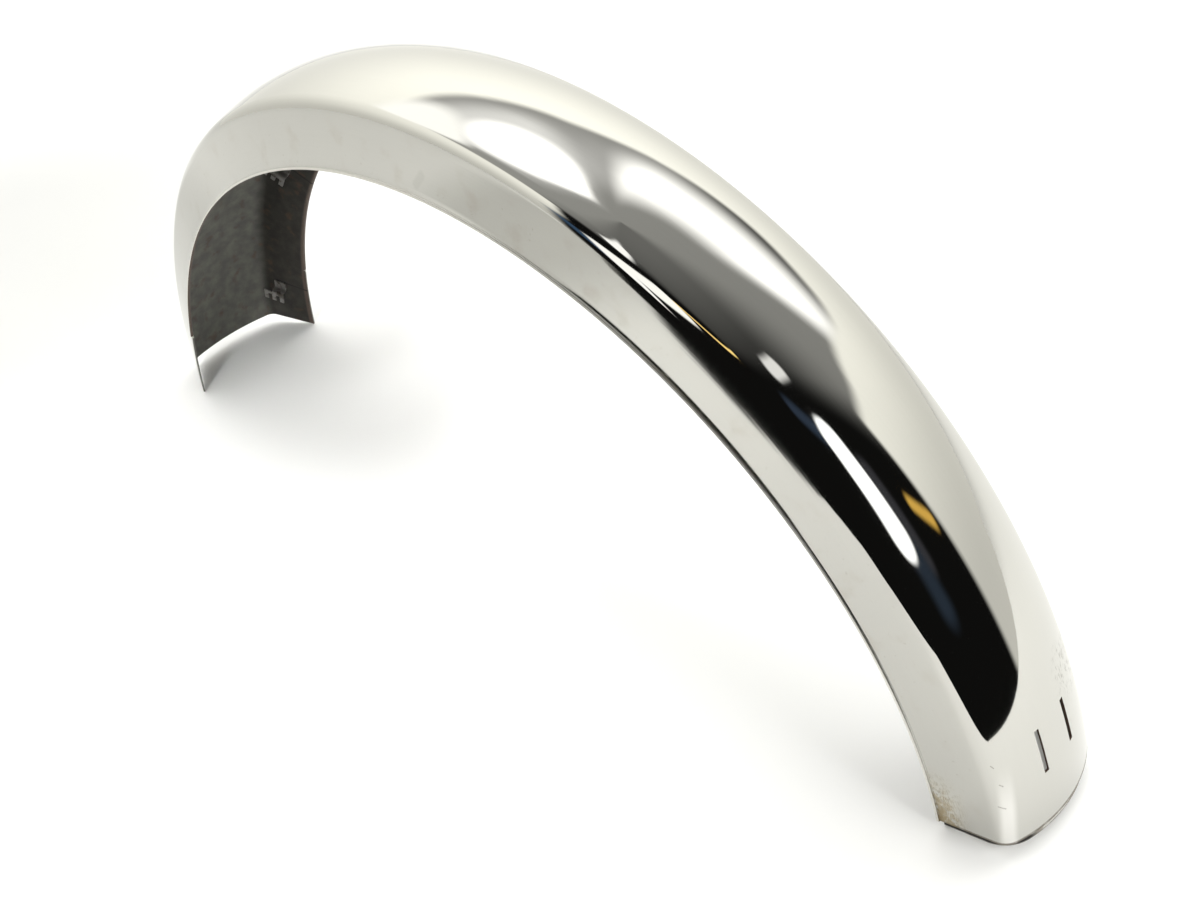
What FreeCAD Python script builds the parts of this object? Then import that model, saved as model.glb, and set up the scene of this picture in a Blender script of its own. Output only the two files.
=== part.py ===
import FreeCAD, Part
import math
import os

# A moped's mudguard: one bright sheet rolled to the arc of the wheel, with an arched crown, rounded shoulders and
# skirts that stand nearly upright at the slotted front end and open towards the rear end.
# Sizes are millimetres and degrees. Angles turn about the wheel's axle, from 0 at the top, and are positive towards
# the front. +X points to the front end, +Y to the side that carries the wire clips, and +Z up.

# Arc of the blade
SHOULDER_RADIUS = 300.0      # axle to the line where the outer faces of crown and skirt would meet
REAR_ANGLE = 78.4
FRONT_ANGLE = 77.9
SHEET = 1.0

# Section of the blade: outer faces, at the rear end, at the top and at the front end
CROWN_WIDTH = 64.7           # shoulder line to shoulder line
REAR_CROWN_RISE = 3.5        # middle of the crown above the shoulder lines
TOP_CROWN_RISE = 8.2
FRONT_CROWN_RISE = 8.6
SKIRT_DEPTH = 29.5           # shoulder line to the foot of the skirt, towards the axle
REAR_SKIRT_SPAN = 90.4       # across the feet of the two skirts
TOP_SKIRT_SPAN = 75.0
FRONT_SKIRT_SPAN = 68.3
SHOULDER_BEND = 8.0          # outer radius between crown and skirt

# Lip turned out along the foot of each skirt
LIP_BEND = 0.4               # radius of its hollow side
LIP_TURN = 95.0
LIP_FLAT = 1.0
LIP_STOP_ANGLE = 67.7        # the lips stop here, and the skirts run on plain to the rear end

# Two slots through the crown near the front end
SLOT_LENGTH = 21.0
SLOT_WIDTH = 3.0
SLOT_CORNER = 0.6
SLOT_SPACING = 18.7          # centre to centre, across the crown
SLOT_SETBACK = 34.0          # front end to the middle of the slots, along the shoulder line

# Stiffening strip inside the front end
STRIP_SHEET = 1.0
STRIP_LENGTH = 20.0          # inside the blade, along the shoulder line
STRIP_REACH = 3.4            # past the blade's end
STRIP_BEND = 15.0            # outer radius at the shoulder, wider than the blade's, so a dark gap shows there
STRIP_SHORT = 2.0            # the strip ends this far above the foot of the skirt
SEAT_GAP = 0.1               # between the blade's inner face and what is welded to it

# Wire clips inside the skirt
REAR_CLIP_ANGLE = 71.8       # front of each clip's foot; its fingers point to the rear end
UPPER_CLIP_ANGLE = 48.4
CLIP_SHEET = 0.8
CLIP_BEND = 0.8              # inside radius of its two bends
CLIP_LENGTH = 14.0           # across the skirt
CLIP_FOOT = 5.0
CLIP_ROOM = 4.2              # free height under the fingers
FINGER_LENGTH = 7.0
SPINE_WIDTH = 2.0            # joins the fingers at their root
FINGER_WIDTH = 2.8
FINGER_COUNT = 3
CLIP_SETDOWN = 2.0           # shoulder line to the near side of the fingers, down the skirt
CLIP_OVERHANG = 6.0          # the fingers start this much nearer to the shoulder than the foot

SECTION_ANGLE = 12.0         # the sections that carry a stretch stand at most this far apart


def along(rear, top, front, angle):
    """Value at an angle of a size given at the rear end, the top and the front end."""
    place = angle / (FRONT_ANGLE if angle > 0 else REAR_ANGLE)
    return top + (front - rear) / 2 * place + ((front + rear) / 2 - top) * place ** 2


def skirt_axes(angle):
    """Directions down the skirt and out of it, as (sideways, away from the axle)."""
    span = along(REAR_SKIRT_SPAN, TOP_SKIRT_SPAN, FRONT_SKIRT_SPAN, angle)
    flare = (span - CROWN_WIDTH) / 2
    length = math.hypot(flare, SKIRT_DEPTH)
    return (flare / length, -SKIRT_DEPTH / length), (SKIRT_DEPTH / length, flare / length), length


def moved(point, *steps):
    """A point moved by a distance along each of several directions."""
    y, r = point
    for distance, direction in steps:
        y += distance * direction[0]
        r += distance * direction[1]
    return y, r


def shoulder(angle, inset, bend):
    """Crown middle and shoulder arc of the +Y half, at an inset below the blade's outer face."""
    rise = along(REAR_CROWN_RISE, TOP_CROWN_RISE, FRONT_CROWN_RISE, angle)
    half = CROWN_WIDTH / 2
    crown_radius = (half ** 2 + rise ** 2) / (2 * rise)
    crown_centre = (0.0, rise - crown_radius)
    down, out, length = skirt_axes(angle)
    start = moved((half, 0.0), (-inset - bend, out))
    reach = crown_radius - inset - bend
    from_centre = (start[0] - crown_centre[0], start[1] - crown_centre[1])
    lead = from_centre[0] * down[0] + from_centre[1] * down[1]
    room = lead ** 2 - from_centre[0] ** 2 - from_centre[1] ** 2 + reach ** 2
    centre = moved(start, (-lead - math.sqrt(room), down))
    up = ((centre[0] - crown_centre[0]) / reach, (centre[1] - crown_centre[1]) / reach)
    between = (up[0] + out[0], up[1] + out[1])
    size = math.hypot(*between)
    middle = (between[0] / size, between[1] / size)
    arc = (moved(centre, (bend, up)), moved(centre, (bend, middle)), moved(centre, (bend, out)))
    return (0.0, rise - inset), arc


def skirt_point(angle, inset, depth):
    """Point of the +Y skirt at an inset below its outer face and a depth down from the shoulder line."""
    down, out, length = skirt_axes(angle)
    return moved((CROWN_WIDTH / 2, 0.0), (-inset, out), (depth, down))


def lip_bottom():
    """Height of the turned-out lip below the end of the skirt's flat."""
    turn = math.radians(LIP_TURN)
    return (LIP_BEND + SHEET) * math.sin(min(turn, math.pi / 2))


def lip_path(angle, inset):
    """Arc and flat of the turned-out lip at an inset below the outer face."""
    down, out, length = skirt_axes(angle)
    turn = math.radians(LIP_TURN)
    radius = LIP_BEND + inset
    centre = moved(skirt_point(angle, 0.0, length - lip_bottom()), (LIP_BEND, out))

    def bent(share):
        swing = share * turn
        return moved(centre, (-radius * math.cos(swing), out), (radius * math.sin(swing), down))

    tip = moved(bent(1.0), (LIP_FLAT * math.cos(turn), down), (LIP_FLAT * math.sin(turn), out))
    return [(bent(0.0), bent(0.5), bent(1.0)), (bent(1.0), tip)]


def half_path(angle, inset, bend, depth, lip):
    """Path of the +Y half from the crown down to its free edge, as lines (2 points) and arcs (3 points)."""
    crown, arc = shoulder(angle, inset, bend)
    if lip:
        turned = lip_path(angle, inset)
        return crown, [arc, (arc[2], turned[0][0])] + turned
    return crown, [arc, (arc[2], skirt_point(angle, inset, depth))]


def backwards(path):
    return [piece[::-1] for piece in reversed(path)]


def mirrored(path):
    return [tuple((-y, r) for y, r in piece) for piece in path]


def face_path(angle, inset, bend, depth, lip):
    """Whole path of one face of the sheet, from the -Y edge over the crown to the +Y edge."""
    crown, half = half_path(angle, inset, bend, depth, lip)
    y, r = half[0][0]
    return backwards(mirrored(half)) + [((-y, r), crown, (y, r))] + half


def in_space(angle, point):
    """Place of a section's point in the radial plane at an angle."""
    turn = math.radians(angle)
    reach = SHOULDER_RADIUS + point[1]
    return FreeCAD.Vector(reach * math.sin(turn), point[0], reach * math.cos(turn))


def heading(angle, direction):
    """Direction in space of a direction in the radial plane at an angle."""
    turn = math.radians(angle)
    return FreeCAD.Vector(direction[1] * math.sin(turn), direction[0], direction[1] * math.cos(turn))


def section(angle, inset, sheet, bend, depth, lip=False):
    """Closed wire of the bent sheet in the radial plane at an angle."""
    outer = face_path(angle, inset, bend, depth, lip)
    inner = backwards(face_path(angle, inset + sheet, bend - sheet, depth, lip))
    loop = outer + [(outer[-1][-1], inner[0][0])] + inner + [(inner[-1][-1], outer[0][0])]
    edges = []
    for piece in loop:
        points = [in_space(angle, point) for point in piece]
        curve = Part.Arc(*points) if len(points) == 3 else Part.LineSegment(*points)
        edges.append(curve.toShape())
    return Part.Wire(edges)


def stretch(first, last, make):
    """Solid through evenly spaced sections from one angle to another, at least three of them."""
    count = max(2, math.ceil((last - first) / SECTION_ANGLE))
    step = (last - first) / count
    return Part.makeLoft([make(first + step * k) for k in range(count + 1)], True, False)


def arc_angle(length):
    """Angle that a length along the shoulder line takes up."""
    return math.degrees(length / SHOULDER_RADIUS)


def plain_depth(angle):
    """Depth of a skirt whose lip was never turned out: the lip's own length runs straight on."""
    length = skirt_axes(angle)[2]
    unrolled = math.radians(LIP_TURN) * (LIP_BEND + SHEET / 2) + LIP_FLAT
    return length - lip_bottom() + unrolled


def slot_cutter(side):
    """Bar that punches one slot, standing at the top and then turned to its place."""
    bottom = SHOULDER_RADIUS - SKIRT_DEPTH
    height = SKIRT_DEPTH + 2 * FRONT_CROWN_RISE
    corner = FreeCAD.Vector(-SLOT_LENGTH / 2, side * SLOT_SPACING / 2 - SLOT_WIDTH / 2, bottom)
    bar = Part.makeBox(SLOT_LENGTH, SLOT_WIDTH, height, corner)
    uprights = [edge for edge in bar.Edges if edge.BoundBox.ZLength > height / 2]
    bar = bar.makeFillet(SLOT_CORNER, uprights)
    bar.rotate(FreeCAD.Vector(), FreeCAD.Vector(0, 1, 0), FRONT_ANGLE - arc_angle(SLOT_SETBACK))
    return bar


def blade():
    """The bent sheet: a long stretch with lips, a plain stretch at the rear end, and the slots."""
    lipped = stretch(-LIP_STOP_ANGLE, FRONT_ANGLE,
                     lambda angle: section(angle, 0.0, SHEET, SHOULDER_BEND, 0.0, lip=True))
    plain = stretch(-REAR_ANGLE, -LIP_STOP_ANGLE,
                    lambda angle: section(angle, 0.0, SHEET, SHOULDER_BEND, plain_depth(angle)))
    return lipped.fuse(plain).cut([slot_cutter(-1), slot_cutter(1)])


def end_strip():
    """The stiffening strip, which follows the blade's inside and stands a little past its end."""
    inset = SHEET + SEAT_GAP
    return stretch(FRONT_ANGLE - arc_angle(STRIP_LENGTH), FRONT_ANGLE + arc_angle(STRIP_REACH),
                   lambda angle: section(angle, inset, STRIP_SHEET, STRIP_BEND,
                                         skirt_axes(angle)[2] - STRIP_SHORT))


def clip_profile():
    """Side view of a clip: foot, riser and finger of one bent strip, foot along X and room along Z."""
    sheet, bend = CLIP_SHEET, CLIP_BEND
    outer = bend + sheet
    riser = CLIP_FOOT + bend
    top = CLIP_ROOM + sheet
    tip = riser + outer + FINGER_LENGTH
    slant = math.sqrt(0.5)

    def at(x, z):
        return FreeCAD.Vector(x, 0.0, z)

    def arc(centre_x, centre_z, radius, sign, start, end):
        middle = at(centre_x + sign * radius * slant, centre_z - sign * radius * slant)
        return Part.Arc(start, middle, end).toShape()

    first = (CLIP_FOOT, outer)
    second = (riser + outer, CLIP_ROOM - bend)
    corners = [at(0, 0), at(first[0], 0), at(riser + sheet, first[1]), at(riser + sheet, second[1]),
               at(second[0], CLIP_ROOM), at(tip, CLIP_ROOM), at(tip, top), at(second[0], top),
               at(riser, second[1]), at(riser, first[1]), at(first[0], sheet), at(0, sheet)]
    bends = {1: (first, outer, 1), 3: (second, bend, -1), 7: (second, outer, -1), 9: (first, bend, 1)}
    edges = []
    for k, start in enumerate(corners):
        end = corners[(k + 1) % len(corners)]
        if k in bends:
            centre, radius, sign = bends[k]
            edges.append(arc(centre[0], centre[1], radius, sign, start, end))
        else:
            edges.append(Part.makeLine(start, end))
    return Part.Face(Part.Wire(edges))


def clip(angle):
    """One wire clip, welded by its foot to the inside of the +Y skirt."""
    body = clip_profile().extrude(FreeCAD.Vector(0, CLIP_LENGTH, 0))
    root = CLIP_FOOT + 2 * CLIP_BEND + CLIP_SHEET
    bottom = -CLIP_ROOM / 2
    height = 2 * CLIP_ROOM + CLIP_SHEET
    cuts = [Part.makeBox(root, CLIP_OVERHANG, height, FreeCAD.Vector(0, 0, bottom))]
    gap = (CLIP_LENGTH - FINGER_COUNT * FINGER_WIDTH) / (FINGER_COUNT - 1)
    for k in range(FINGER_COUNT - 1):
        start = FreeCAD.Vector(root + SPINE_WIDTH, FINGER_WIDTH + k * (FINGER_WIDTH + gap), bottom)
        cuts.append(Part.makeBox(FINGER_LENGTH, gap, height, start))
    body = body.cut(cuts)
    seat = in_space(angle, skirt_point(angle, SHEET + SEAT_GAP, CLIP_SETDOWN))
    axes = skirt_axes(angle)
    down = heading(angle, axes[0])
    inward = -heading(angle, axes[1])
    rearward = down.cross(inward)
    place = FreeCAD.Matrix(rearward.x, down.x, inward.x, seat.x,
                           rearward.y, down.y, inward.y, seat.y,
                           rearward.z, down.z, inward.z, seat.z,
                           0, 0, 0, 1)
    return body.transformGeometry(place)


def main():
    pieces = {
        "mudguard_blade": blade(),
        "front_end_strip": end_strip(),
        "rear_wire_clip": clip(-REAR_CLIP_ANGLE),
        "upper_wire_clip": clip(-UPPER_CLIP_ANGLE),
    }
    box = Part.makeCompound(list(pieces.values())).optimalBoundingBox()
    to_origin = FreeCAD.Vector(-box.Center.x, -box.Center.y, -box.ZMin)
    os.makedirs("parts", exist_ok=True)
    for name, shape in pieces.items():
        shape.translate(to_origin)
        shape.exportStep(os.path.join("parts", name + ".step"))
        print(name, shape.ShapeType, len(shape.Solids), "solid", round(shape.Volume), "mm3", shape.isValid())
    print("box", round(box.XLength, 2), round(box.YLength, 2), round(box.ZLength, 2), "axle", to_origin)


main()
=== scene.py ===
"""Looks of a moped mudguard: a bright rolled sheet with a dull inside, its end strip and its wire clips."""
import math

import bpy
from mathutils import Matrix, Vector


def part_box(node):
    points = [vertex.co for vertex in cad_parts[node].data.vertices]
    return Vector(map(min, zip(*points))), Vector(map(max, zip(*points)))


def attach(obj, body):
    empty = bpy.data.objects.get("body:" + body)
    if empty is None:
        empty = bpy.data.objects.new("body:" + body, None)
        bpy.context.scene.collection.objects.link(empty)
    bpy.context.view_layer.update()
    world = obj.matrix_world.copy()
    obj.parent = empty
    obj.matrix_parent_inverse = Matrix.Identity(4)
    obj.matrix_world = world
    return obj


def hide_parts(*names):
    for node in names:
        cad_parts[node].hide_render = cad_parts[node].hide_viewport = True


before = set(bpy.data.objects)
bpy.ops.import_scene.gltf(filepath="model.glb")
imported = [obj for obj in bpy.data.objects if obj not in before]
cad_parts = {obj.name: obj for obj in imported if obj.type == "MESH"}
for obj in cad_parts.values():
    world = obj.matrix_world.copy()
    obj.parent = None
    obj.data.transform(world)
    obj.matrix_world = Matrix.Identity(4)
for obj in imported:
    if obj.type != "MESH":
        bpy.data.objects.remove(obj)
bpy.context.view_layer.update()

MM = 0.001

# Blade sizes in millimetres and degrees: the solid's, but with a narrower lip flat and narrower slots
BLADE = {
    "Shoulder Radius": 300.0,
    "Rear Angle": 78.4,
    "Front Angle": 77.9,
    "Sheet": 1.0,
    "Crown Width": 64.7,
    "Rear Crown Rise": 3.5,
    "Top Crown Rise": 8.2,
    "Front Crown Rise": 8.6,
    "Skirt Depth": 29.5,
    "Rear Skirt Span": 90.4,
    "Top Skirt Span": 75.0,
    "Front Skirt Span": 68.3,
    "Shoulder Bend": 8.0,
    "Lip Bend": 0.4,
    "Lip Turn": 95.0,
    "Lip Flat": 0.3,
    "Lip Stop Angle": 67.7,
    "Slot Length": 21.0,
    "Slot Width": 2.4,
    "Slot Spacing": 18.7,
    "Slot Setback": 34.0,
}
BLADE_ROWS = 281                 # rows of the sheet's mesh along the arc
# Columns of the sheet's mesh in each run of the section, from the crown's middle outwards
RUNS = {"middle": 5, "slot": 2, "crown": 10, "shoulder": 12, "skirt": 10, "lip": 6, "hem": 1}

# Camera of the photograph
CAMERA_PLACE = Vector((0.39936, -0.29529, 0.45180))
CAMERA_AZIMUTH = 49.23
CAMERA_ELEVATION = 39.815
CAMERA_ROLL = -9.82
CAMERA_LENS = 37.24
SENSOR_WIDTH = 36.0

# Corners in metres of the white paper below the mudguard. A bay in its front edge lies below the camera
PAPER = (
    (-1.610, -2.410), (-0.200, -0.467), (0.120, -0.212), (0.185, -0.178), (0.235, -0.200),
    (0.352, -0.252), (1.630, 2.010), (-0.900, 3.400), (-3.200, 0.000),
)
# Painted soft shade on the paper: middle and radius in metres, and depth
SHADES = (
    ((-0.33, -0.56), 0.34, 0.65),
    ((-0.55, -0.05), 0.40, 0.45),
    ((-0.17, 0.02), 0.12, 0.45),
    ((-0.235, 0.055), 0.075, 0.40),
)

# Places on the unrolled sheet: metres along the arc from the top, metres across from the crown's middle
FRONT_END = math.radians(BLADE["Front Angle"]) * BLADE["Shoulder Radius"] * MM
LIP_STOP = -math.radians(BLADE["Lip Stop Angle"]) * BLADE["Shoulder Radius"] * MM
CLIP_ANGLES = (71.8, 48.4)       # degrees behind the top
SLOT_ZONE = (FRONT_END - 0.050, FRONT_END - 0.018)
SMUDGE = (0.357, 0.0215)
SMUDGE_RADIUS = 0.017

# Where the finish changes, in metres across from the crown's middle: from the first value to the second
SKIRT = (0.034, 0.046)
DULL_SKIRT = (0.050, 0.062)
LIP = (0.0605, 0.0615)
# Inner skirt: where the painted shade of the inner face begins
SHADED_INNER_SKIRT = (0.026, 0.036)
# Inner foot: a brown tint, lightened as painted light
LIT_INNER_FOOT = (0.0605, 0.0620)

# Strokes on the unrolled sheet: from, to and width
# Painted highlight: a lighter stroke along the near shoulder's bend at the front end
BEND_HIGHLIGHT = ((FRONT_END - 0.040, -0.0270), (FRONT_END, -0.0315), 0.0045)
FAINT_MARK = ((0.0185, -0.0560), (0.0225, -0.0510), 0.0030)
SCRATCHES = (
    ((0.3655, -0.0310), (0.3668, -0.0302), 0.0004),
    ((0.3755, -0.0300), (0.3768, -0.0288), 0.0004),
    ((0.3862, -0.0325), (0.3880, -0.0300), 0.0004),
)

# Strip lights that the crown and the near shoulder mirror: from and to as azimuth and elevation in degrees,
# half the width, the soft edge and the colour
STRIPS = (
    ((-24.0, 13.0), (-23.0, 3.0), 3.0, 6.0, (0.06, 0.12, 0.22)),       # blue end of the shoulder's streak
    ((-19.5, -1.0), (-17.5, 14.0), 3.5, 2.0, (1.9, 1.9, 1.9)),         # shoulder's streak, lower half
    ((-14.0, 16.0), (5.0, 36.5), 5.5, 2.0, (1.9, 1.9, 1.87)),          # shoulder's streak, upper half
    ((9.0, 41.6), (49.0, 54.6), 1.0, 1.0, (2.0, 1.45, 0.50)),          # warm thin line
    ((-3.0, 57.0), (6.0, 72.0), 5.0, 4.0, (1.9, 1.9, 1.9)),            # white spot above the line
    ((94.0, 15.0), (94.0, 32.0), 3.0, 4.0, (0.06, 0.06, 0.07)),        # grey edge of the front streak
    ((90.0, 7.0), (89.0, 15.0), 4.0, 6.0, (0.035, 0.050, 0.075)),      # blue foot of the front streak
    ((73.0, 46.5), (80.0, 41.5), 2.5, 4.0, (0.045, 0.065, 0.105)),     # blue head of the front streak
    ((86.0, 21.0), (85.5, 39.0), 5.5, 1.8, (2.4, 2.45, 2.5)),          # front streak
    ((81.0, 55.0), (89.0, 55.0), 2.6, 2.2, (1.4, 1.4, 1.4)),           # white spot behind the front streak
    ((106.5, 22.3), (112.5, 16.8), 1.7, 2.6, (1.15, 0.70, 0.14)),      # orange spot
)


class Value:
    """An output socket. Python's operators on it add Math nodes."""

    def __init__(self, bench, socket):
        self.bench = bench
        self.socket = socket

    def __add__(self, other):
        return self.bench.math("ADD", self, other)

    def __sub__(self, other):
        return self.bench.math("SUBTRACT", self, other)

    def __rsub__(self, other):
        return self.bench.math("SUBTRACT", other, self)

    def __mul__(self, other):
        return self.bench.math("MULTIPLY", self, other)

    def __truediv__(self, other):
        return self.bench.math("DIVIDE", self, other)

    def __rtruediv__(self, other):
        return self.bench.math("DIVIDE", other, self)

    def __gt__(self, other):
        return self.bench.math("GREATER_THAN", self, other)

    def __lt__(self, other):
        return self.bench.math("LESS_THAN", self, other)

    def __abs__(self):
        return self.bench.math("ABSOLUTE", self)

    def __neg__(self):
        return self.bench.math("MULTIPLY", self, -1.0)

    __radd__ = __add__
    __rmul__ = __mul__


class Bench:
    """A node tree that is filled by plain calls."""

    def __init__(self, tree):
        self.tree = tree

    def add(self, kind, settings=None, sockets=None, output=0):
        """Adds a node, sets it up, fills its sockets by name or number, and gives one of its outputs."""
        node = self.tree.nodes.new(kind)
        for name, value in (settings or {}).items():
            setattr(node, name, value)
        for name, value in (sockets or {}).items():
            self.plug(node.inputs[name], value)
        return Value(self, node.outputs[output])

    def plug(self, socket, value):
        if isinstance(value, Value):
            self.tree.links.new(value.socket, socket)
        else:
            socket.default_value = value

    def close(self, kind, value):
        """Adds the tree's last node and plugs a value into it."""
        self.plug(self.tree.nodes.new(kind).inputs[0], value)

    def math(self, operation, *values):
        return self.add("ShaderNodeMath", {"operation": operation}, dict(enumerate(values)))

    def clamp(self, value, low=0.0, high=1.0):
        return self.add("ShaderNodeClamp", sockets={0: value, 1: low, 2: high})

    def choose(self, test, yes, no):
        """One of two values, by a test that is 0 or 1."""
        return no + test * (yes - no)

    def fade(self, value, start, end):
        """A smooth change from 0 at start to 1 at end."""
        return self.add("ShaderNodeMapRange", {"interpolation_type": "SMOOTHSTEP"},
                        {"Value": value, "From Min": start, "From Max": end})

    def blend(self, share, first, second):
        """Mix of two colours."""
        return self.add("ShaderNodeMix", {"data_type": "RGBA"},
                        {"Factor": share, 6: first, 7: second}, output=2)

    def shade(self, colour, factor):
        """A colour times a value."""
        return self.add("ShaderNodeVectorMath", {"operation": "SCALE"}, {0: colour, "Scale": factor})

    def noise(self, vector, scale, detail):
        """Cloudy pattern between 0 and 1."""
        return self.add("ShaderNodeTexNoise", sockets={"Vector": vector, "Scale": scale, "Detail": detail})

    def attribute(self, name):
        """A value stored on the mesh."""
        return self.add("ShaderNodeAttribute", {"attribute_name": name}, output="Fac")

    def spot(self, along, across, place, radius):
        """Soft round patch at a place."""
        return self.stroke(along, across, place, (place[0] + radius * 0.01, place[1]), radius)

    def stroke(self, along, across, start, end, width):
        """Soft stroke from one place to another."""
        run = (end[0] - start[0], end[1] - start[1])
        ahead = along - start[0]
        aside = across - start[1]
        share = self.clamp((ahead * run[0] + aside * run[1]) / (run[0] ** 2 + run[1] ** 2))
        ahead = ahead - share * run[0]
        aside = aside - share * run[1]
        return self.fade(self.math("SQRT", ahead * ahead + aside * aside), width, width * 0.3)

    def parts(self, vector):
        """X, Y and Z of a vector."""
        node = self.add("ShaderNodeSeparateXYZ", sockets={0: vector}).socket.node
        return [Value(self, output) for output in node.outputs]

    def vector(self, x, y, z):
        return self.add("ShaderNodeCombineXYZ", sockets={0: x, 1: y, 2: z})


def axle_place():
    """Place of the wheel's axle in the part's frame, from the blade's box and sizes."""
    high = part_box("mudguard_blade")[1]
    top = (BLADE["Shoulder Radius"] + BLADE["Top Crown Rise"]) * MM
    end = (BLADE["Shoulder Radius"] + BLADE["Front Crown Rise"]) * MM
    return Vector((high.x - end * math.sin(math.radians(BLADE["Front Angle"])), 0.0, high.z - top))


def named_inputs(bench, sizes):
    """Group inputs with the sizes' names, and their values inside the tree."""
    for name in sizes:
        bench.tree.interface.new_socket(name, in_out="INPUT", socket_type="NodeSocketFloat")
    node = bench.add("NodeGroupInput").socket.node
    return {name: Value(bench, node.outputs[name]) for name in sizes}


def run_shares(bench, column):
    """How far each run of the section is covered at a column, from 0 to 1."""
    shares = {}
    start = 0
    for name, count in RUNS.items():
        shares[name] = bench.clamp((column - start) / count)
        start += count
    return shares


def section_rule(bench, size, angle, lipped, share):
    """Sideways and outward place on the blade's outer face, and the width unrolled from the middle."""
    ahead = angle > 0.0
    place = angle / bench.choose(ahead, size["Front Angle"], size["Rear Angle"])

    def along(name):
        rear, top, front = (size[end + name] for end in ("Rear ", "Top ", "Front "))
        return top + (front - rear) / 2 * place + ((front + rear) / 2 - top) * place * place

    def root(value):
        return bench.math("SQRT", value)

    def sine(value):
        return bench.math("SINE", value)

    def cosine(value):
        return bench.math("COSINE", value)

    rise = along("Crown Rise")
    half = size["Crown Width"] / 2
    flare = (along("Skirt Span") - size["Crown Width"]) / 2
    depth = size["Skirt Depth"]
    bend = size["Shoulder Bend"]
    length = root(flare * flare + depth * depth)
    down = (flare / length, -depth / length)
    out = (depth / length, flare / length)
    crown_radius = (half * half + rise * rise) / (rise * 2)
    crown_centre = rise - crown_radius

    # Centre of the shoulder's bend: it touches the crown's arc and the skirt's line
    start = (half - bend * out[0], -bend * out[1] - crown_centre)
    lead = start[0] * down[0] + start[1] * down[1]
    reach = crown_radius - bend
    back = lead + root(lead * lead - start[0] * start[0] - start[1] * start[1] + reach * reach)
    centre = (start[0] - back * down[0], start[1] - back * down[1])
    crown_end = bench.math("ARCTAN2", centre[0], centre[1])
    skirt_start = bench.math("ARCTAN2", out[0], out[1])

    slot_in = (size["Slot Spacing"] - size["Slot Width"]) / 2
    slot_out = slot_in + size["Slot Width"]
    crown_half = crown_radius * sine(crown_end)
    on_crown = (slot_in * share["middle"] + size["Slot Width"] * share["slot"]
                + (crown_half - slot_out) * share["crown"])
    turned = (skirt_start - crown_end) * share["shoulder"]
    y = on_crown + bend * (sine(crown_end + turned) - sine(crown_end))
    r = (crown_centre + root(crown_radius * crown_radius - on_crown * on_crown)
         + bend * (cosine(crown_end + turned) - cosine(crown_end)))

    # Skirt, then the lip: turned out, or straight on where it was never turned
    turn = bench.math("RADIANS", size["Lip Turn"])
    lip_height = (size["Lip Bend"] + size["Sheet"]) * sine(bench.clamp(turn, 0.0, math.pi / 2))
    arc_end = (centre[0] + bend * out[0] - half, centre[1] + crown_centre + bend * out[1])
    skirt_run = length - lip_height - arc_end[0] * down[0] - arc_end[1] * down[1]
    swing = turn * share["lip"]
    hem = size["Lip Flat"] * share["hem"]
    straight = swing * (size["Lip Bend"] + size["Sheet"] / 2) + hem
    turned_down = size["Lip Bend"] * sine(swing) + hem * cosine(turn)
    turned_out = size["Lip Bend"] * (1.0 - cosine(swing)) + hem * sine(turn)
    downward = skirt_run * share["skirt"] + bench.choose(lipped, turned_down, straight)
    outward = lipped * turned_out
    y = y + down[0] * downward + out[0] * outward
    r = r + down[1] * downward + out[1] * outward
    width = on_crown + bend * turned + skirt_run * share["skirt"] + straight
    return y, r, width


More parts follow.
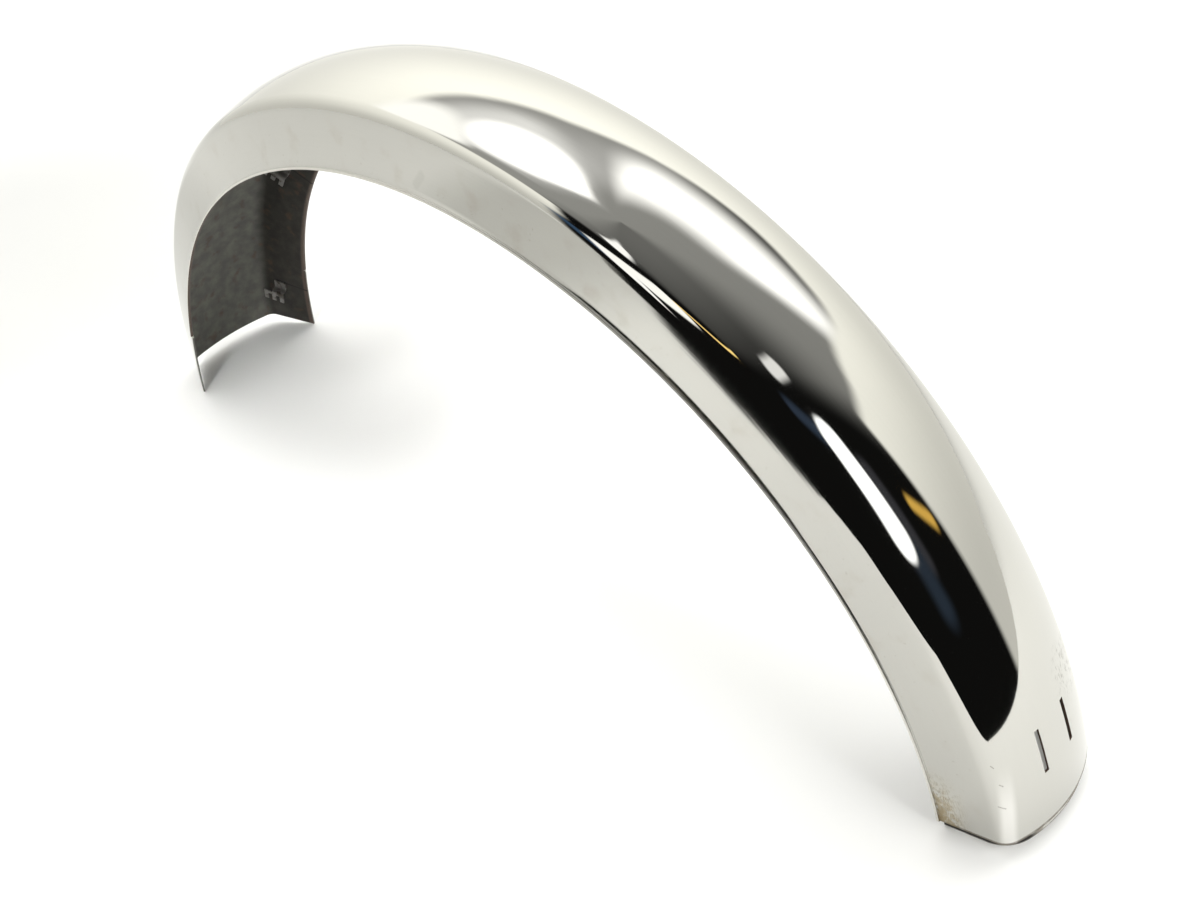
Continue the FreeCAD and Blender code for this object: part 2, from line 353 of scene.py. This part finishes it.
def blade_tree(polish):
    """Geometry Nodes for the blade's outer face: a grid bent by the section's rule, then cut."""
    bench = Bench(bpy.data.node_groups.new("rolled_blade", "GeometryNodeTree"))
    sizes = {**BLADE, "Axle X": 0.0, "Axle Z": 0.0}
    size = named_inputs(bench, sizes)
    bench.tree.interface.new_socket("Sheet Metal", in_out="OUTPUT", socket_type="NodeSocketGeometry")
    half_columns = sum(RUNS.values())

    grid = bench.add("GeometryNodeMeshGrid", sockets={
        "Size X": 2.0 * half_columns, "Size Y": BLADE_ROWS - 1.0,
        "Vertices X": 2 * half_columns + 1, "Vertices Y": BLADE_ROWS})
    column, row = bench.parts(bench.add("GeometryNodeInputPosition"))[:2]
    step = (size["Rear Angle"] + size["Front Angle"]) / (BLADE_ROWS - 1.0)
    angle = (row + (BLADE_ROWS - 1) / 2) * step - size["Rear Angle"]
    lipped = angle > -size["Lip Stop Angle"]

    def snapped(angle, target, room):
        """Rows within some room of a target angle move onto it."""
        near = abs(angle - target) < room
        return bench.choose(near, target, angle)

    degree = bench.math("DEGREES", 1.0)
    slot_middle = size["Front Angle"] - size["Slot Setback"] / size["Shoulder Radius"] * degree
    slot_radius = size["Shoulder Radius"] + size["Front Crown Rise"]
    slot_half = bench.math("ARCSINE", size["Slot Length"] / 2 / slot_radius) * degree
    angle = snapped(angle, -size["Lip Stop Angle"], step)
    angle = snapped(angle, slot_middle - slot_half, step / 2)
    angle = snapped(angle, slot_middle + slot_half, step / 2)

    def keep(geometry, name, value):
        """Stores a value on the mesh under a name."""
        return bench.add("GeometryNodeStoreNamedAttribute", {"data_type": "FLOAT", "domain": "POINT"},
                         {"Geometry": geometry, "Name": name, "Value": value})

    def kept(name):
        return bench.add("GeometryNodeInputNamedAttribute", {"data_type": "FLOAT"}, {"Name": name})

    mesh = keep(grid, "column", column)
    mesh = keep(mesh, "angle", angle)
    mesh = keep(mesh, "lipped", lipped)
    side = bench.math("SIGN", kept("column"))
    share = run_shares(bench, abs(kept("column")))
    y, r, width = section_rule(bench, size, kept("angle"), kept("lipped"), share)
    mesh = keep(mesh, "across", width * side * MM)
    mesh = keep(mesh, "along", kept("angle") / degree * size["Shoulder Radius"] * MM)
    turn = kept("angle") / degree
    reach = (size["Shoulder Radius"] + r) * MM
    place = bench.vector(size["Axle X"] + reach * bench.math("SINE", turn), side * y * MM,
                         size["Axle Z"] + reach * bench.math("COSINE", turn))
    mesh = bench.add("GeometryNodeSetPosition", sockets={"Geometry": mesh, "Position": place})

    # Faces to cut: the slots, and the row without length where the lips stop
    face_column = abs(kept("column"))
    slot_start = RUNS["middle"]
    in_slot = ((face_column > slot_start) * (face_column < slot_start + RUNS["slot"])
               * (abs(kept("angle") - slot_middle) < slot_half))
    at_stop = abs(kept("angle") + size["Lip Stop Angle"]) < step * 0.01
    cut = bench.math("MAXIMUM", in_slot, at_stop)
    mesh = bench.add("GeometryNodeDeleteGeometry", {"domain": "FACE"}, {"Geometry": mesh, "Selection": cut})
    mesh = bench.add("GeometryNodeMergeByDistance", sockets={"Geometry": mesh, "Distance": 0.001 * MM})
    mesh = bench.add("GeometryNodeFlipFaces", sockets={"Mesh": mesh})
    mesh = bench.add("GeometryNodeRealizeInstances", sockets={"Geometry": mesh})
    mesh = bench.add("GeometryNodeSetMaterial", sockets={"Geometry": mesh, "Material": polish})
    bench.close("NodeGroupOutput", mesh)
    return bench.tree, sizes


def baked(piece):
    """Plain mesh of a piece with its modifiers worked in. The modifiers are then gone."""
    graph = bpy.context.evaluated_depsgraph_get()
    mesh = bpy.data.meshes.new_from_object(piece.evaluated_get(graph), preserve_all_data_layers=True,
                                           depsgraph=graph)
    piece.modifiers.clear()
    piece.data = mesh
    return mesh


def mudguard_blade(polish, dull, edge):
    """The bent sheet with its thickness: bright outside, dull inside and a bare cut edge."""
    piece = bpy.data.objects.new("mudguard_sheet", bpy.data.meshes.new("mudguard_sheet"))
    bpy.context.scene.collection.objects.link(piece)
    tree, sizes = blade_tree(polish)
    axle = axle_place()
    sizes["Axle X"] = axle.x
    sizes["Axle Z"] = axle.z
    rule = piece.modifiers.new("rolled_blade", "NODES")
    rule.node_group = tree
    for item in tree.interface.items_tree:
        if item.in_out == "INPUT":
            rule[item.identifier] = sizes[item.name]
    mesh = baked(piece)
    mesh.materials.clear()
    for surface in (polish, dull, edge):
        mesh.materials.append(surface)

    wall = piece.modifiers.new("sheet", "SOLIDIFY")
    wall.thickness = BLADE["Sheet"] * MM
    wall.offset = -1.0
    wall.use_even_offset = True
    wall.use_quality_normals = True
    wall.material_offset = 1
    wall.material_offset_rim = 2

    mesh = baked(piece)
    mesh.shade_smooth()
    mesh.set_sharp_from_angle(angle=math.radians(40.0))
    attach(piece, "root")
    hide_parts("mudguard_blade")


def metal(name):
    """A new material with its bench and its Principled shader."""
    material = bpy.data.materials.new(name)
    material.use_nodes = True
    bench = Bench(material.node_tree)
    shader = material.node_tree.nodes["Principled BSDF"]
    return material, bench, shader


def finish(bench, shader, colour, roughness, metallic, bump=None):
    """Plugs the painted values into a Principled shader."""
    bench.plug(shader.inputs["Base Color"], colour)
    bench.plug(shader.inputs["Roughness"], roughness)
    bench.plug(shader.inputs["Metallic"], metallic)
    if bump:
        height, distance = bump
        normal = bench.add("ShaderNodeBump",
                           sockets={"Strength": 1.0, "Distance": distance, "Height": height})
        bench.plug(shader.inputs["Normal"], normal)


def bright_polish():
    """Polished sheet: rolling streaks, faint blotches on the skirts, a smudge and grime at the front end."""
    material, bench, shader = metal("bright_polish")
    along = bench.attribute("along")
    across = bench.attribute("across")
    sheet = bench.vector(along, across, 0.0)
    skirt = bench.fade(abs(across), *SKIRT)

    streaks = bench.noise(bench.vector(along * 0.02, across, 0.0), 900.0, 3.0)
    cloud = bench.noise(sheet, 26.0, 4.0)
    blotch = bench.fade(bench.noise(sheet, 70.0, 5.0), 0.52, 0.74) * skirt
    speck = bench.fade(bench.noise(sheet, 420.0, 2.0), 0.66, 0.76) * skirt
    wave = bench.noise(sheet, 14.0, 1.0)
    patchy = bench.noise(sheet, 300.0, 5.0)
    runs = bench.noise(bench.vector(along * 0.25, across, 0.0), 1500.0, 4.0)

    # Grime in the near front corner, a brown line along the front end, a smudge by the far slot, and a
    # painted highlight along the near shoulder's bend
    corner = bench.fade(along, FRONT_END - 0.038, FRONT_END - 0.004) * bench.fade(across, -0.044, -0.062)
    haze = corner * bench.fade(patchy, 0.30, 0.60)
    grime = corner * bench.fade(runs * 0.6 + patchy * 0.4 + corner * 0.12, 0.50, 0.64)
    rim = bench.fade(along, FRONT_END - 0.0014, FRONT_END - 0.0005) * bench.fade(patchy, 0.10, 0.50)
    smudge = bench.fade(runs * 0.5 + patchy * 0.5, 0.50, 0.66)
    smudge = smudge * bench.spot(along, across, SMUDGE, SMUDGE_RADIUS)
    bend_highlight = bench.stroke(along, across, *BEND_HIGHLIGHT) * bench.fade(along, FRONT_END - 0.042, FRONT_END - 0.014)
    marks = bench.stroke(along, across, *FAINT_MARK) * 0.12
    for place, end, width in SCRATCHES:
        marks = bench.math("MAXIMUM", marks, bench.stroke(along, across, place, end, width) * 0.6)

    clean = bench.blend(cloud, (0.515, 0.509, 0.478, 1.0), (0.545, 0.537, 0.500, 1.0))
    colour = bench.blend(streaks * 0.12, clean, (0.41, 0.40, 0.375, 1.0))
    colour = bench.blend(blotch * 0.26, colour, (0.39, 0.345, 0.285, 1.0))
    colour = bench.blend(speck * 0.30, colour, (0.30, 0.26, 0.21, 1.0))
    # Painted highlight along the near shoulder's bend
    colour = bench.blend(bend_highlight * 0.9, colour, (0.72, 0.71, 0.68, 1.0))
    colour = bench.blend(smudge * 0.75, colour, (0.24, 0.22, 0.18, 1.0))
    colour = bench.blend(marks * 0.6, colour, (0.22, 0.19, 0.15, 1.0))
    colour = bench.blend(rim * 0.85, colour, (0.11, 0.085, 0.055, 1.0))
    colour = bench.blend(haze * 0.50, colour, (0.48, 0.39, 0.20, 1.0))
    colour = bench.blend(grime * 0.8, colour, (0.25, 0.18, 0.08, 1.0))
    dirt = bench.clamp(grime * 0.8 + haze * 0.2 + rim + smudge * 0.4 + marks * 0.5)
    dulled = bench.fade(abs(across), *DULL_SKIRT)
    lip = bench.fade(abs(across), *LIP)
    roughness = 0.030 + streaks * 0.02 + blotch * dulled * 0.10 + dulled * 0.04 + lip * 0.35 + dirt * 0.45
    finish(bench, shader, colour, roughness, 1.0 - dirt * 0.65, (wave + streaks * 0.01, 0.00025))
    return material


def dull_inside():
    """Inner face of the sheet: grey and unpolished on the crown, and on the skirts darker, which is painted
    shade, and browner.
    """
    material, bench, shader = metal("dull_inside")
    along = bench.attribute("along")
    across = bench.attribute("across")
    sheet = bench.vector(along, across, 0.0)
    skirt = bench.fade(abs(across), *SHADED_INNER_SKIRT)
    mottle = bench.fade(bench.noise(sheet, 130.0, 6.0), 0.30, 0.75)
    grain = bench.noise(sheet, 900.0, 3.0)
    rust = bench.fade(bench.noise(sheet, 120.0, 5.0), 0.55, 0.70)
    foot = bench.fade(abs(across), *LIT_INNER_FOOT)
    # The skirts are painted much darker than the crown: painted shade on the same dull steel, a little
    # browner
    crown = bench.blend(mottle, (0.098, 0.099, 0.088, 1.0), (0.150, 0.148, 0.129, 1.0))
    side = bench.blend(mottle, (0.023, 0.021, 0.018, 1.0), (0.041, 0.037, 0.031, 1.0))
    colour = bench.blend(skirt, crown, side)
    colour = bench.blend(rust * 0.5, colour, (0.085, 0.050, 0.032, 1.0))
    # Lighter brown along the inner foot: a brown tint, brightened as painted light that the lip catches
    colour = bench.blend(foot * 0.6, colour, (0.135, 0.098, 0.078, 1.0))
    # Near-black lines on the inner far skirt at each clip's place along the arc, out to the foot
    clip_lines = 0.0
    for angle in CLIP_ANGLES:
        place = -math.radians(angle) * BLADE["Shoulder Radius"] * MM
        line = bench.fade(abs(along - place), 0.0009, 0.0003) * bench.fade(across, 0.040, 0.043)
        clip_lines = bench.math("MAXIMUM", clip_lines, line)
    colour = bench.blend(clip_lines * 0.8, colour, (0.006, 0.006, 0.006, 1.0))
    roughness = 0.50 + grain * 0.2
    finish(bench, shader, colour, roughness, 0.35, (grain, 0.00005))
    return material


def cut_edge():
    """Bare sheared edge of the sheet: dark brown inside the slots, and darker and duller behind the lips,
    where the darkness is painted shade.
    """
    material, bench, shader = metal("cut_edge")
    along = bench.attribute("along")
    across = bench.attribute("across")
    grain = bench.noise(bench.vector(along, across, 0.0), 700.0, 3.0)
    slot = bench.fade(abs(across), 0.016, 0.014)
    slot = slot * bench.fade(along, SLOT_ZONE[0] - 0.005, SLOT_ZONE[0])
    slot = slot * bench.fade(along, SLOT_ZONE[1] + 0.006, SLOT_ZONE[1])
    bare = bench.blend(grain, (0.62, 0.60, 0.56, 1.0), (0.78, 0.76, 0.71, 1.0))
    # Painted shade: the edge is darker where the skirt runs on without a lip
    shaded_tail = bench.fade(along, LIP_STOP, LIP_STOP - 0.002)
    colour = bench.blend(slot, bare, (0.075, 0.042, 0.028, 1.0))
    colour = bench.blend(shaded_tail, colour, (0.16, 0.155, 0.14, 1.0))
    roughness = 0.30 + grain * 0.15 + slot * 0.4 + shaded_tail * 0.2
    finish(bench, shader, colour, roughness, 1.0 - slot * 0.9 - shaded_tail * 0.3)
    return material


def strip_steel():
    """Plain steel of the end strip: painted black shade in the gap below the blade's end and where its bends
    sit back, a brown cut edge.
    """
    material, bench, shader = metal("strip_steel")
    place = bench.add("ShaderNodeTexCoord", output="Object")
    x, y, z = bench.parts(place)
    axle = axle_place()
    past = bench.math("ARCTAN2", x - axle.x, z - axle.z) * (BLADE["Shoulder Radius"] * MM) - FRONT_END
    # Painted shade: black in the gap just below the blade's end
    gap_shade = bench.fade(past, 0.0017, 0.0012)
    # Painted shade: black where the strip's bends sit back below the blade
    bend = bench.fade(abs(y), 0.016, 0.022) * bench.fade(abs(y), 0.036, 0.033)
    bend = bend * bench.fade(past, 0.0033, 0.0028)
    gap_and_bend_shade = bench.math("MAXIMUM", gap_shade * 0.9, bend)
    edge = bench.fade(past, 0.0027, 0.0033)
    grain = bench.noise(place, 500.0, 4.0)
    stain = bench.fade(bench.noise(place, 160.0, 5.0), 0.48, 0.66)
    bare = bench.blend(grain, (0.50, 0.49, 0.46, 1.0), (0.62, 0.61, 0.57, 1.0))
    colour = bench.blend(stain * 0.6, bare, (0.22, 0.17, 0.11, 1.0))
    colour = bench.blend(edge * 0.7, colour, (0.10, 0.08, 0.055, 1.0))
    colour = bench.blend(gap_and_bend_shade, colour, (0.008, 0.007, 0.006, 1.0))
    # The painted black shade also makes the steel rougher and less metallic
    dirt = bench.clamp(stain * 0.5 + edge * 0.5 + gap_and_bend_shade)
    finish(bench, shader, colour, 0.26 + dirt * 0.5, 1.0 - dirt * 0.8, (grain, 0.00004))
    return material


def clip_steel():
    """Dull spring steel of the wire clips."""
    material, bench, shader = metal("clip_steel")
    place = bench.add("ShaderNodeTexCoord", output="Object")
    grain = bench.noise(place, 650.0, 4.0)
    stain = bench.fade(bench.noise(place, 240.0, 4.0), 0.45, 0.65)
    colour = bench.blend(stain, (0.34, 0.33, 0.315, 1.0), (0.12, 0.105, 0.09, 1.0))
    finish(bench, shader, colour, 0.38 + grain * 0.2, 0.9, (grain, 0.00004))
    return material


def dress_node(node, material):
    """Gives a solid of the frame its finish."""
    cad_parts[node].material_slots[0].material = material


class Room(Bench):
    """Light by direction in degrees: azimuth is 0 towards -Y and 90 towards +X, elevation 0 is level."""

    def __init__(self, tree):
        super().__init__(tree)
        self.x, y, z = self.parts(self.add("ShaderNodeTexCoord", output="Generated"))
        degree = 180.0 / math.pi
        self.azimuth = self.math("ARCTAN2", self.x, -y) * degree
        self.elevation = self.math("ARCSINE", z) * degree
        self.light = None

    def turned(self, azimuth):
        """Degrees of azimuth from a given one, between -180 and 180."""
        return self.math("WRAP", self.azimuth - azimuth, 180.0, -180.0)

    def lay(self, mask, colour):
        """Lays a colour over the light where the mask is 1."""
        if not isinstance(colour, Value):
            colour = (*colour, 1.0)
        self.light = self.blend(mask, self.light, colour)

    def grey(self, value, tint):
        """A value as a tinted colour."""
        return self.shade(self.vector(*tint), value)

    def length(self, across, up):
        return self.math("SQRT", across * across + up * up)

    def ceiling(self):
        """Grey ceiling, darker on the camera's side, above a dark room."""
        front = self.fade(abs(self.turned(48.0)), 85.0, 35.0)
        behind = 0.46 - self.x * 0.14
        before = self.fade(self.elevation, 46.0, 88.0) * 0.24
        bright = behind + front * (before - behind)
        away = self.length(self.turned(42.0) / 78.0, (self.elevation - 25.0) / 32.0)
        above = self.fade(away, 0.90, 1.15) * self.fade(self.elevation, 22.0, 34.0)
        self.light = self.grey(0.008 + above * bright, (1.0, 1.0, 0.97))

    def glow(self, middle, half, soft, colour):
        """Soft oval light: full inside the first share of its half sizes, gone at the second."""
        away = self.length(self.turned(middle[0]) / half[0], (self.elevation - middle[1]) / half[1])
        self.lay(self.fade(away, soft[1], soft[0]), colour)

    def panel(self, middle, aside, up, colour, lean):
        """Soft box: each pair is where its light is full and where it is gone, away from its middle."""
        beside = self.turned(middle[0])
        above = self.elevation - middle[1] - beside * lean
        self.lay(self.fade(abs(beside), aside[1], aside[0]) * self.fade(abs(above), up[1], up[0]), colour)

    def foot(self, middle, half, low, high, colour):
        """Light that grows upwards below a soft box and ends behind it."""
        rise = self.fade(self.elevation, low, high) * self.fade(self.elevation, 80.0, 70.0)
        self.lay(self.fade(abs(self.turned(middle)), half[1], half[0]) * rise, colour)

    def wall(self, middle, half):
        """White wall round the far side. Its top edge dips behind the mudguard."""
        side = self.turned(174.0)
        top = 42.5 - 18.0 * self.fade(abs(side), 42.0, 4.0) - 6.0 * self.fade(side, -20.0, -45.0)
        warm = 1.0 + 0.25 * self.fade(abs(self.turned(-150.0)), 85.0, 20.0)
        bright = (0.95 + 0.65 * self.fade(self.elevation, -2.0, 40.0)) * warm
        aside = self.turned(middle)
        lean = 0.3 * self.clamp(self.elevation, -30.0, 25.0) * (aside > 0.0)
        mask = self.fade(abs(aside) - half - lean, 2.0, -2.0) * self.fade(self.elevation - top, 2.0, -3.0)
        self.lay(mask, self.grey(bright, (1.0, 0.995, 0.935)))

    def strip(self, start, end, half, soft, colour):
        """Straight strip light between two directions."""
        run = (end[0] - start[0], end[1] - start[1])
        across = self.turned(start[0])
        up = self.elevation - start[1]
        share = self.clamp((across * run[0] + up * run[1]) / (run[0] ** 2 + run[1] ** 2))
        away = self.length(across - share * run[0], up - share * run[1])
        self.lay(self.fade(away, half + soft / 2, half - soft / 2), colour)


def studio_room():
    """World: white to the camera, and a dark room with white walls and soft boxes to everything else."""
    world = bpy.data.worlds.new("studio_room")
    bpy.context.scene.world = world
    world.use_nodes = True
    world.node_tree.nodes.clear()
    room = Room(world.node_tree)
    room.ceiling()
    room.glow((-160.0, 60.0), (22.0, 14.0), (0.40, 1.60), (0.75, 0.75, 0.74))
    room.foot(-108.0, (20.0, 40.0), 42.0, 57.0, (1.6, 1.6, 1.6))
    room.glow((-106.0, 66.0), (50.0, 20.0), (0.25, 1.15), (1.3, 1.3, 1.3))
    room.glow((-106.0, 69.0), (32.0, 14.5), (0.75, 1.15), (2.8, 2.8, 2.8))
    room.panel((175.0, 49.5), (17.0, 31.0), (2.0, 26.0), (2.8, 2.8, 2.8), 0.35)
    room.wall(223.5, 106.5)
    room.glow((-82.0, 47.0), (26.0, 11.0), (0.70, 1.15), (1.95, 1.95, 1.92))
    for strip in STRIPS:
        room.strip(*strip)

    inside = room.add("ShaderNodeBackground", sockets={"Color": room.light, "Strength": 1.0})
    white = room.add("ShaderNodeBackground", sockets={"Color": (1.0, 1.0, 1.0, 1.0), "Strength": 1.0})
    camera = room.add("ShaderNodeLightPath", output="Is Camera Ray")
    shown = room.add("ShaderNodeMixShader", sockets={0: camera, 1: inside, 2: white})
    room.close("ShaderNodeOutputWorld", shown)


def white_paper():
    """Pale floor that ends below the camera, with painted soft shade in places."""
    mesh = bpy.data.meshes.new("white_paper")
    mesh.from_pydata([(x, y, 0.0) for x, y in PAPER], [], [range(len(PAPER))])
    material, bench, shader = metal("white_paper")
    place = bench.add("ShaderNodeTexCoord", output="Object")
    tone = bench.noise(place, 3.0, 2.0)
    colour = bench.blend(tone, (0.92, 0.925, 0.91, 1.0), (0.94, 0.94, 0.93, 1.0))
    x, y = bench.parts(place)[:2]
    # Painted shade: soft grey spots on the paper
    for middle, radius, depth in SHADES:
        colour = bench.blend(bench.spot(x, y, middle, radius) * depth, colour, (0.50, 0.50, 0.48, 1.0))
    finish(bench, shader, colour, 0.9, 0.0)
    shader.inputs["Specular IOR Level"].default_value = 0.0
    mesh.materials.append(material)
    paper = bpy.data.objects.new("white_paper", mesh)
    bpy.context.scene.collection.objects.link(paper)


def soft_lamp(name, place, target, size, energy, spread=180.0):
    """Lamp for the paper and the dull faces. The bright sheet mirrors the room instead."""
    lamp = bpy.data.lights.new(name, "AREA")
    lamp.shape = "DISK"
    lamp.size = size
    lamp.spread = math.radians(spread)
    lamp.energy = energy
    holder = bpy.data.objects.new(name, lamp)
    holder.location = place
    aim = Vector(target) - Vector(place)
    holder.rotation_euler = aim.to_track_quat("-Z", "Y").to_euler()
    holder.visible_glossy = False
    bpy.context.scene.collection.objects.link(holder)


def photo_camera():
    """The photograph's camera, rolled a little to one side."""
    turn, rise, roll = (math.radians(v) for v in (CAMERA_AZIMUTH, CAMERA_ELEVATION, CAMERA_ROLL))
    back = Vector((math.sin(turn) * math.cos(rise), -math.cos(turn) * math.cos(rise), math.sin(rise)))
    level = Vector((math.cos(turn), math.sin(turn), 0.0))
    above = back.cross(level)
    right = level * math.cos(roll) + above * math.sin(roll)
    up = back.cross(right)
    data = bpy.data.cameras.new("photo_camera")
    data.sensor_width = SENSOR_WIDTH
    data.lens = CAMERA_LENS
    data.clip_start = 0.01
    camera = bpy.data.objects.new("photo_camera", data)
    camera.matrix_world = Matrix.Translation(CAMERA_PLACE) @ Matrix((right, up, back)).transposed().to_4x4()
    bpy.context.scene.collection.objects.link(camera)
    bpy.context.scene.camera = camera


bpy.context.scene.view_settings.view_transform = "Standard"
mudguard_blade(bright_polish(), dull_inside(), cut_edge())
dress_node("front_end_strip", strip_steel())
spring = clip_steel()
dress_node("rear_wire_clip", spring)
dress_node("upper_wire_clip", spring)
studio_room()
white_paper()
soft_lamp("key_lamp", (-0.2, 0.9, 1.5), (0.0, 0.0, 0.0), 2.2, 15.0)
soft_lamp("front_lamp", (1.0, 0.1, 0.7), (0.36, -0.12, 0.0), 0.5, 3.5)
soft_lamp("near_lamp", (0.25, -0.75, 0.6), (0.1, -0.22, 0.0), 0.4, 1.7)
soft_lamp("arch_lamp", (0.45, -0.95, 0.55), (-0.24, 0.0, 0.0), 0.25, 0.17, spread=24.0)
photo_camera()
